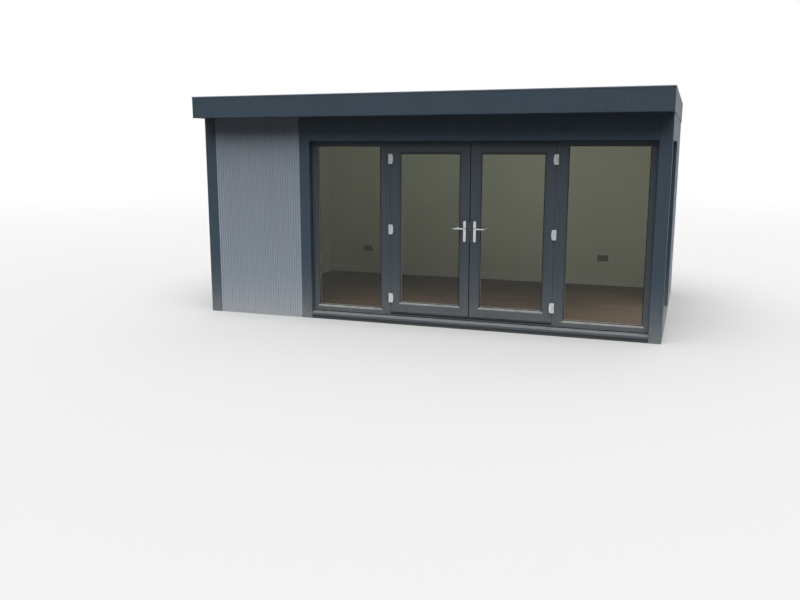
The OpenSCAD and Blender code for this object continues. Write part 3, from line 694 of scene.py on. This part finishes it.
def weld_corner(shape, place, corner, slope):
    """Cuts the groove of one mitre. Slope is 1 where it climbs to the right, and -1 where it falls."""
    middle = place @ corner
    across = place.to_3x3() @ Vector((slope, 0, -1)).normalized()
    for offset in (-SEAM_HALF, SEAM_HALF, 0):
        near = {vert for vert in shape.verts if (vert.co - middle).length < CORNER_REACH}
        faces = {face for vert in near for face in vert.link_faces}
        edges = {edge for face in faces for edge in face.edges}
        verts = {vert for face in faces for vert in face.verts}
        bmesh.ops.bisect_plane(shape, geom=[*verts, *edges, *faces], plane_co=middle + across * offset,
            plane_no=across, dist=0.01 * MM)
    shape.normal_update()
    bottom = [(vert, -SEAM_DEPTH * vert.normal) for vert in shape.verts
        if (vert.co - middle).length < CORNER_REACH and abs((vert.co - middle) @ across) < 0.02 * MM]
    for vert, push in bottom:
        bmesh.ops.translate(shape, verts=[vert], vec=push)
    return len(bottom)


WELDED = ("left_light_frame", "right_light_frame", "side_light_frame", "left_door_sash", "right_door_sash")
for name in WELDED:
    shape = merged_copy(name)
    place, width, height = frame_place(name)
    corners = (((0, 0, 0), 1), ((width, 0, 0), -1), ((0, 0, height), -1), ((width, 0, height), 1))
    count = sum(weld_corner(shape, place, Vector(corner), slope) for corner, slope in corners)
    back = place.inverted()
    bar = shape.loops.layers.float_color.new("level_bar")
    for face in shape.faces:
        middle = back @ face.calc_center_median()
        level = min(middle.z, height - middle.z) < min(middle.x, width - middle.x)
        for loop in face.loops:
            loop[bar] = (1, 1, 1, 1) if level else (0, 0, 0, 1)
    print(name, "has", count, "points along its seams")
    finished(shape, name + "_welded", BODIES.get(name, "pod"), foiled_frame, [name], limit=20)

# %% [markdown]
# ## Glazing
#
# A sealed unit sits in its frame between two rubber gaskets, and a spacer bar holds its panes apart. From
# outside the black gasket is the thin dark line between the bead and the glass, and the grey metal of the
# spacer bar shows beside it. Each is a flat ring: a rectangle is laid upright, its rim is inset, its middle
# is removed, and the rim is extruded to its depth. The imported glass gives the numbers.


# %% Rings
def extrude_by(shape, faces, way):
    """Extrudes faces and moves the new ones."""
    grown = bmesh.ops.extrude_face_region(shape, geom=faces)["geom"]
    verts = [part for part in grown if isinstance(part, bmesh.types.BMVert)]
    bmesh.ops.translate(shape, verts=verts, vec=way)


def add_ring(shape, place, width, height, inset, wide, start, end):
    """A ring in a frame's own place: inset from its edges, wide across, from one depth to another."""
    lay = Matrix.Translation((width / 2, start, height / 2)) @ turned(90, "X")
    size = Matrix.Diagonal((width - 2 * inset, height - 2 * inset, 1, 1))
    made = bmesh.ops.create_grid(shape, x_segments=1, y_segments=1, size=0.5, matrix=place @ lay @ size)
    middle = made["verts"][0].link_faces[0]
    rim = bmesh.ops.inset_region(
        shape, faces=[middle], thickness=wide, use_boundary=True, use_even_offset=True)
    bmesh.ops.delete(shape, geom=[middle], context="FACES")
    extrude_by(shape, rim["faces"], place.to_3x3() @ Vector((0, end - start, 0)))


def closed(shape):
    """Turns all faces outwards, and says how many edges are still open."""
    bmesh.ops.recalc_face_normals(shape, faces=shape.faces)
    return sum(not edge.is_manifold for edge in shape.edges)


# %% Gaskets and spacer bars
GLASS_GRIP = 11 * MM
PANE = 4 * MM
GASKET_WIDE = 7.5 * MM
GASKET_PROUD = 2.6 * MM
SPACER_OUT = 6 * MM
SPACER_WIDE = 15 * MM
FIT = 0.05 * MM

leaf_low, leaf_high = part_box("left_door_sash")
glass_low, glass_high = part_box("left_door_glass")
front = glass_low.y - leaf_low.y
back = front + (glass_high.y - glass_low.y)
leaf_sight = glass_low.x - leaf_low.x + GLASS_GRIP
light_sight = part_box("fixed_glass")[0].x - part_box("left_light_frame")[0].x + GLASS_GRIP
GLAZED = {"fixed_light": ("pod", light_sight), "left_door": ("left_door", leaf_sight),
    "right_door": ("right_door", leaf_sight)}
for group, (body, sight) in GLAZED.items():
    gaskets = bmesh.new()
    spacers = bmesh.new()
    for spot in [frame_place(name) for name in WELDED if BODIES.get(name, "pod") == body]:
        add_ring(gaskets, *spot, sight, GASKET_WIDE, front - GASKET_PROUD, front - FIT)
        add_ring(gaskets, *spot, sight, GASKET_WIDE, back + FIT, back + GASKET_PROUD)
        add_ring(spacers, *spot, sight - SPACER_OUT, SPACER_WIDE, front + PANE + FIT, back - PANE - FIT)
    print(group, "open edges:", closed(gaskets), closed(spacers))
    round_edges(gaskets, 0.9 * MM)
    round_edges(spacers, 0.6 * MM)
    finished(gaskets, group + "_gaskets", body, rubber)
    finished(spacers, group + "_spacer_bars", body, spacer_metal)

# %% [markdown]
# **Door seals.** The leaves close against a rubber seal on the frame's lip, and the left leaf carries one
# on its meeting edge. A thick round on all edges makes a block or a ring look like a soft bulb. Each seal
# stops short of the part that it would be pressed against, so nothing rubs when the doors swing.


# %% Door seals
def add_block(shape, low, high):
    """A block between two corners, and its new faces."""
    low, high = Vector(low), Vector(high)
    matrix = Matrix.Translation((low + high) / 2) @ Matrix.Diagonal((*(high - low), 1))
    verts = bmesh.ops.create_cube(shape, size=1, matrix=matrix)["verts"]
    return list({face for vert in verts for face in vert.link_faces})


STOP_INSET = 45 * MM
STOP_DEPTH = 58 * MM
STOP_PROUD = 5.3 * MM
STOP_WIDE = 8 * MM
MEETING_DEPTH = (37 * MM, 47 * MM)
MEETING_END = 4 * MM
MEETING_WIDE = 3 * MM

seal = bmesh.new()
frame_spot = frame_place("door_frame_jambs")
add_ring(seal, *frame_spot, STOP_INSET, STOP_WIDE, STOP_DEPTH - STOP_PROUD, STOP_DEPTH - FIT)
closed(seal)
round_edges(seal, 2.2 * MM, segments=3)
finished(seal, "door_stop_seal", "pod", rubber)

seal = bmesh.new()
low = (leaf_high.x + FIT, leaf_low.y + MEETING_DEPTH[0], leaf_low.z + MEETING_END)
high = (leaf_high.x + MEETING_WIDE, leaf_low.y + MEETING_DEPTH[1], leaf_high.z - MEETING_END)
add_block(seal, low, high)
round_edges(seal, 1.4 * MM, segments=3)
finished(seal, "meeting_seal", "left_door", rubber)

# %% [markdown]
# **Gap seals.** A thin flap hides the gap between the frame and the leaves, so that the joint looks almost
# closed along the hinges and over the leaves. It is a strip in the gap, a little behind the face, and it
# leaves the leaf free to turn.

# %% Gap seals
GAP = 6 * MM
SWING_ROOM = 0.6 * MM

face_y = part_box("door_frame_jambs")[0].y
near, far = face_y + 0.7 * MM, face_y + 6 * MM
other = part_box("right_door_sash")
left, right, top = leaf_low.x, other[1].x, leaf_high.z
shape = bmesh.new()
add_block(shape, (left - GAP + FIT, near, leaf_low.z), (left - SWING_ROOM, far, top))
add_block(shape, (right + SWING_ROOM, near, leaf_low.z), (right + GAP - FIT, far, top))
add_block(shape, (left, near, top + SWING_ROOM), (right, far, top + GAP - FIT))
round_edges(shape, 1.2 * MM)
finished(shape, "gap_seals", "pod", foiled_rail)

# %% [markdown]
# **Sealant.** Where the frames meet the trims of the reveal, a bead of sealant fills the corner. It is a
# thin ring in front of the frames, rounded like a bead that a wet finger has smoothed.

# %% Sealant
TRIM_LAP = 6 * MM
BEAD = 4 * MM

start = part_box("left_light_frame")[0] + Vector((TRIM_LAP, 0, 0))
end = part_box("right_light_frame")[1].x - TRIM_LAP
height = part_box("header_panels")[0].z - start.z
side_place, side_width = frame_place("side_light_frame")[:2]
side_place = side_place @ Matrix.Translation((TRIM_LAP, 0, 0))
sealant = bmesh.new()
add_ring(sealant, Matrix.Translation(start), end - start.x, height, 0, BEAD, -BEAD, -FIT)
add_ring(sealant, side_place, side_width - 2 * TRIM_LAP, height, 0, BEAD, -BEAD, -FIT)
closed(sealant)
round_edges(sealant, 1.8 * MM, segments=3)
finished(sealant, "reveal_sealant", "pod", rubber)

# %% [markdown]
# ** Threshold strips.** A brush strip under the leaves keeps draughts out, and a bead of rubber seals the
# joint between the frames and the sill. From afar they are two dark lines below the doors, and their black
# is also painted shade: it stands for the shade under the leaves and at the foot of the frames.

# %% Threshold strips
BRUSH_PROUD = 1.2 * MM
BRUSH_FOOT = 24 * MM
BRUSH_TOP = 7 * MM
SILL_BEAD_PROUD = 2 * MM
SILL_BEAD_TOP = 9 * MM

shape = bmesh.new()
low = (left, face_y - BRUSH_PROUD, leaf_low.z - BRUSH_FOOT)
add_block(shape, low, (right, face_y - FIT, leaf_low.z - BRUSH_TOP))
low = (start.x + BEAD, face_y - SILL_BEAD_PROUD, start.z + BEAD)
add_block(shape, low, (end - BEAD, face_y - FIT, start.z + SILL_BEAD_TOP))
round_edges(shape, 0.4 * MM)
finished(shape, "threshold_strips_and_shade", "pod", rubber)

# %% [markdown]
# ## Door furniture
#
# Small turned parts finish the doors: domed caps on the hinge pins, the plug in each lock cylinder with its
# key slot, and the screws on the room side. A turned part starts from half its outline, which is spun a full
# turn about the upright axis and then laid in its place.


# %% Turned parts
def add_turned(shape, outline, place, steps=20):
    """Spins an outline of (radius, height) pairs in millimetres, and lays the result in a place."""
    kept = set(shape.verts)
    verts = [shape.verts.new((radius * MM, 0, height * MM)) for radius, height in outline]
    edges = [shape.edges.new(pair) for pair in zip(verts, verts[1:])]
    bmesh.ops.spin(shape, geom=verts + edges, cent=(0, 0, 0), axis=(0, 0, 1), angle=radians(360),
        steps=steps, use_merge=True)
    fresh = [vert for vert in shape.verts if vert not in kept]
    bmesh.ops.remove_doubles(shape, verts=fresh, dist=0.001 * MM)
    fresh = [vert for vert in shape.verts if vert not in kept]
    bmesh.ops.transform(shape, matrix=place, verts=fresh)


TO_FRONT, TO_ROOM, UP, DOWN = 90, -90, 0, 180


def facing(point, tip):
    """A place at a point, whose upright axis is tipped by some degrees."""
    return Matrix.Translation(point) @ turned(tip, "X")


# %% Hinge caps
CAP = ((0, 2.6), (3.2, 2.3), (5.6, 1.3), (6.6, 0), (0, 0))
KNUCKLE = 8 * MM
HINGE_HALF = 52 * MM

hinge_low, hinge_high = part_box("frame_hinges")
levels = (hinge_low.z + HINGE_HALF, (hinge_low.z + hinge_high.z) / 2, hinge_high.z - HINGE_HALF)
axes = (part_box("left_door_hinges")[0].x + KNUCKLE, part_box("right_door_hinges")[1].x - KNUCKLE)
caps = bmesh.new()
for axis in axes:
    for level in levels:
        for tip, rise in ((UP, HINGE_HALF), (DOWN, -HINGE_HALF)):
            add_turned(caps, CAP, facing((axis, hinge_low.y + KNUCKLE, level + rise), tip))
print("open edges:", closed(caps))
finished(caps, "hinge_caps", "pod", hinge_white)

# %% Lock plugs, key slots and plate screws
PLUG = ((0, 0.8), (5.6, 0.8), (6.2, 0.3), (6.2, 0), (0, 0))
SCREW = ((0, 0.5), (1.5, 0.5), (1.7, 1.5), (2.8, 1.4), (3.7, 0.7), (3.8, 0), (0, 0))
LOCK_DROP = 92 * MM
LOCK_PROUD = 3 * MM
KEY_HALF = (0.8 * MM, 3.6 * MM)
KEY_DEPTHS = (0.3 * MM, 1.0 * MM)
SCREW_UP = 59 * MM
SCREW_DOWN = 121 * MM

for side in ("left", "right"):
    body = side + "_door"
    plates_low, plates_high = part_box(side + "_handle_plates")
    lever_low, lever_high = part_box(side + "_lever")
    axis = (plates_low.x + plates_high.x) / 2
    level = (lever_low.z + lever_high.z) / 2
    lock = level - LOCK_DROP
    plugs, slots, screws = bmesh.new(), bmesh.new(), bmesh.new()
    for plate, tip, out in ((plates_low.y, TO_FRONT, -1), (plates_high.y, TO_ROOM, 1)):
        add_turned(plugs, PLUG, facing((axis, plate, lock), tip))
        near, far = sorted(plate + out * depth for depth in KEY_DEPTHS)
        low = (axis - KEY_HALF[0], near, lock - KEY_HALF[1])
        add_block(slots, low, (axis + KEY_HALF[0], far, lock + KEY_HALF[1]))
    for height in (level + SCREW_UP, level - SCREW_DOWN):
        add_turned(screws, SCREW, facing((axis, plates_high.y - LOCK_PROUD, height), TO_ROOM))
    print(side, "open edges:", closed(plugs), closed(screws))
    round_edges(slots, 0.2 * MM, segments=1)
    finished(plugs, side + "_lock_plugs", body, satin_metal)
    finished(slots, side + "_key_slots", body, rubber)
    finished(screws, side + "_plate_screws", body, satin_metal)

# %% [markdown]
# **Lock faceplates.** A steel strip is let into the meeting edge of each leaf, round the bolts of the lock.
# It is a thin block with round ends: its four short edges are rounded by almost half its width. A smaller
# block on it is the latch bolt.

# %% Lock faceplates
PLATE_THICK = 1.2 * MM
PLATE_DEPTHS = (12 * MM, 32 * MM)
PLATE_DOWN = 150 * MM
PLATE_UP = 70 * MM
BOLT_PROUD = 0.8 * MM
BOLT_DEPTHS = (16 * MM, 28 * MM)
BOLT_DOWN = 15 * MM
BOLT_TALL = 30 * MM

for side, edge_x, out in (("left", leaf_high.x, 1), ("right", other[0].x, -1)):
    shape = bmesh.new()
    near, far = sorted((edge_x + out * FIT, edge_x + out * PLATE_THICK))
    low = (near, leaf_low.y + PLATE_DEPTHS[0], level - PLATE_DOWN)
    add_block(shape, low, (far, leaf_low.y + PLATE_DEPTHS[1], level + PLATE_UP))
    short = [edge for edge in shape.edges if abs(edge.verts[0].co.x - edge.verts[1].co.x) > 0.5 * MM]
    round_edges(shape, 9.5 * MM, segments=5, edges=short)
    bolt_top = level - BOLT_DOWN
    low = (near + out * BOLT_PROUD, leaf_low.y + BOLT_DEPTHS[0], bolt_top - BOLT_TALL)
    add_block(shape, low, (far + out * BOLT_PROUD, leaf_low.y + BOLT_DEPTHS[1], bolt_top))
    finished(shape, side + "_faceplate", side + "_door", satin_metal)

# %% [markdown]
# ## Inside the room
#
# **Laminate floor.** Boards of 1285 by 192 mm run along the room, and their end joints shift by about a
# third of a board from row to row. Each is a block whose top edges have a fine bevel, which draws the joints.
# A colour attribute gives every board its own tone and its own piece of the grain.

# %% Laminate boards
BOARD_LENGTH = 1285 * MM
BOARD_WIDTH = 192 * MM
BOARD_BEVEL = 0.8 * MM
ROW_SHIFTS = (0.35, 0.68, 0.02)

floor_low, floor_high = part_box("laminate_floor")
chance = Random(21)
shape = bmesh.new()
board = shape.loops.layers.float_color.new("board")
rows = -int(-(floor_high.y - floor_low.y) // BOARD_WIDTH)
for row in range(rows):
    front = floor_low.y + row * BOARD_WIDTH
    back = min(front + BOARD_WIDTH, floor_high.y)
    left = floor_low.x - ROW_SHIFTS[row % 3] * BOARD_LENGTH
    while left < floor_high.x - 1 * MM:
        kept = set(shape.faces)
        low = (max(left, floor_low.x) + FIT, front + FIT, floor_low.z)
        high = (min(left + BOARD_LENGTH, floor_high.x) - FIT, back - FIT, floor_high.z)
        faces = add_block(shape, low, high)
        top = [face for face in faces if face.calc_center_median().z > floor_high.z - BOARD_BEVEL]
        round_edges(shape, BOARD_BEVEL, segments=1, edges=list(top[0].edges))
        mark = (chance.random(), chance.random(), chance.random(), 1)
        for face in shape.faces:
            if face not in kept:
                for loop in face.loops:
                    loop[board] = mark
        left += BOARD_LENGTH
print(rows, "rows of boards")
finished(shape, "laminate_boards", "pod", laminate, ["laminate_floor"], limit=20)

# %% [markdown]
# **Edge strip.** The gap that the boards need along the glazed front is covered by a quarter-round strip. It
# is a block with one long edge rounded by almost its whole width.

# %% Edge strip
STRIP = 16 * MM
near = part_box("left_light_frame")[1].y + 0.5 * MM
floor = floor_high.z
shape = bmesh.new()
low = (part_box("front_wall")[1].x + 8 * MM, near, floor + FIT)
add_block(shape, low, (floor_high.x - 2 * MM, near + STRIP, floor + STRIP))
middle = Vector((0, near + STRIP / 2, floor + STRIP / 2))
long_edge = [edge for edge in shape.edges
    if all(vert.co.y > middle.y and vert.co.z > middle.z for vert in edge.verts)]
round_edges(shape, 0.8 * STRIP, segments=5, edges=long_edge)
finished(shape, "floor_edge_strip", "pod", white_board)

# %% [markdown]
# **Sockets.** A double socket is a moulded plate with two switches and two sets of holes. Its edges are
# rounded first. Then its face is cut by planes along the sides of each hole and switch. The patches inside
# the holes are pushed in, and the switches are pushed out a little.

# %% Double sockets
HOLES = ((-41, -37, 9, 17), (-52, -45.5, -12, -7.5), (-32.5, -26, -12, -7.5), (37, 41, 9, 17),
    (26, 32.5, -12, -7.5), (45.5, 52, -12, -7.5))
SWITCHES = ((-13, -4, 2, 18), (4, 13, 2, 18))
HALF_WIDE = 73
HALF_TALL = 43


def press(shape, middle, patches, depth):
    """Moves patches of a plate's face, in millimetres from its middle, into it, or out of it."""
    sides = [((x, 0, 0), (1, 0, 0)) for patch in patches for x in patch[:2]]
    sides += [((0, 0, z), (0, 0, 1)) for patch in patches for z in patch[2:]]
    for spot, across in sides:
        geometry = [*shape.verts, *shape.edges, *shape.faces]
        bmesh.ops.bisect_plane(shape, geom=geometry, plane_co=middle + Vector(spot) * MM, plane_no=across,
            dist=0.001 * MM)
    chosen = []
    for face in shape.faces:
        spot = (face.calc_center_median() - middle) / MM
        inside = any(patch[0] < spot.x < patch[1] and patch[2] < spot.z < patch[3] for patch in patches)
        if inside and face.normal.y < -0.9 and abs(spot.y) < 0.1:
            chosen.append(face)
    extrude_by(shape, chosen, (0, depth * MM, 0))
    bmesh.ops.delete(shape, geom=chosen, context="FACES")


sockets_low, sockets_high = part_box("wall_sockets")
level = (sockets_low.z + sockets_high.z) / 2
sockets = bmesh.new()
for middle_x in (sockets_low.x + HALF_WIDE * MM, sockets_high.x - HALF_WIDE * MM):
    shape = bmesh.new()
    middle = Vector((middle_x, sockets_low.y, level))
    low = middle - Vector((HALF_WIDE, 0, HALF_TALL)) * MM
    add_block(shape, low, middle + Vector((HALF_WIDE, 10, HALF_TALL)) * MM)
    front = [edge for edge in shape.edges if min(vert.co.y for vert in edge.verts) < sockets_high.y - 1 * MM]
    round_edges(shape, 3.5 * MM, segments=3, edges=front)
    shape.normal_update()
    press(shape, middle, HOLES, 4)
    press(shape, middle, SWITCHES, -1.2)
    print("socket open edges:", closed(shape))
    part = bpy.data.meshes.new("socket_part")
    shape.to_mesh(part)
    shape.free()
    sockets.from_mesh(part)
    bpy.data.meshes.remove(part)
finished(sockets, "double_sockets", "pod", socket_plastic, ["wall_sockets"])

# %% [markdown]
# ## On the roof
#
# The roof sheet is laid in four widths that lap over each other, so the laps show as low steps that run down
# the fall. Each is a thin block, whose far end is lowered by the fall.

# %% Roof laps
LAPS = 3
LAP_HALF = 25 * MM
LAP_THICK = 1.5 * MM
LAP_END = 28 * MM

roof_low, roof_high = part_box("roof_membrane")
roof = roof_high - roof_low
fall = roof_high.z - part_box("rear_fascia")[1].z
shape = bmesh.new()
for number in range(LAPS):
    middle_x = roof_low.x + (number + 1) * roof.x / (LAPS + 1)
    low = (middle_x - LAP_HALF, roof_low.y + LAP_END, roof_high.z)
    faces = add_block(shape, low, (middle_x + LAP_HALF, roof_high.y - LAP_END, roof_high.z + LAP_THICK))
    for vert in {vert for face in faces for vert in face.verts}:
        bmesh.ops.translate(shape, verts=[vert], vec=(0, 0, -fall * (vert.co.y - roof_low.y) / roof.y))
round_edges(shape, 0.5 * MM, segments=1)
print("the roof falls", round(fall / MM), "mm")
finished(shape, "roof_laps", "pod", membrane)

# %% [markdown]
# ## The floor under the pod
#
# The stage is one large pale plane. Far away it fades to the white of the sky, so that no horizon shows. It
# keeps the pod's shadow. Real ground is darker than a white studio floor, so the light that the plane throws
# back on the walls is dimmed, and more so further from the pod.

# %% Stage
NEAR_HALF = (2.85, 1.75, 0)
NEAR_MIDDLE = (0.25, 0, 0)
PALE = (0.35, 0.35, 0.35, 1)

stage_shape = bmesh.new()
bmesh.ops.create_grid(stage_shape, x_segments=1, y_segments=1, size=60)
stage = new_object("stage", stage_shape)
stage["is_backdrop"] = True
pale_floor, tree = new_material("pale_floor", Roughness=0.9)
diffuse = tree.add("LightPath").outputs["Is Diffuse Ray"]
place = tree.place()
beside = tree.vector("ABSOLUTE", tree.vector("SUBTRACT", place, NEAR_MIDDLE))
beside = tree.vector("MAXIMUM", tree.vector("SUBTRACT", beside, NEAR_HALF))
thrown = tree.ramp(tree.vector("LENGTH", beside), 0.05, 0.9, 0.48, 0.05)
tree.put(tree.shader.inputs["Base Color"], tree.mix(diffuse, PALE, thrown))
fade = tree.ramp(tree.vector("LENGTH", place), 6.0, 26.0)
fade = tree.times(fade, tree.math("SUBTRACT", 1.0, diffuse))
tree.show(tree.add("Emission"), fade)
stage.data.materials.append(pale_floor)
print("stage of", round(stage.dimensions.x), "m")

# %% [markdown]
# ## The size
#
# Finishes and trimmings must not make the pod larger, so the box of all that shows now is printed.

low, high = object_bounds()
print("visual box", [round(value, 4) for value in (*low, *high)])
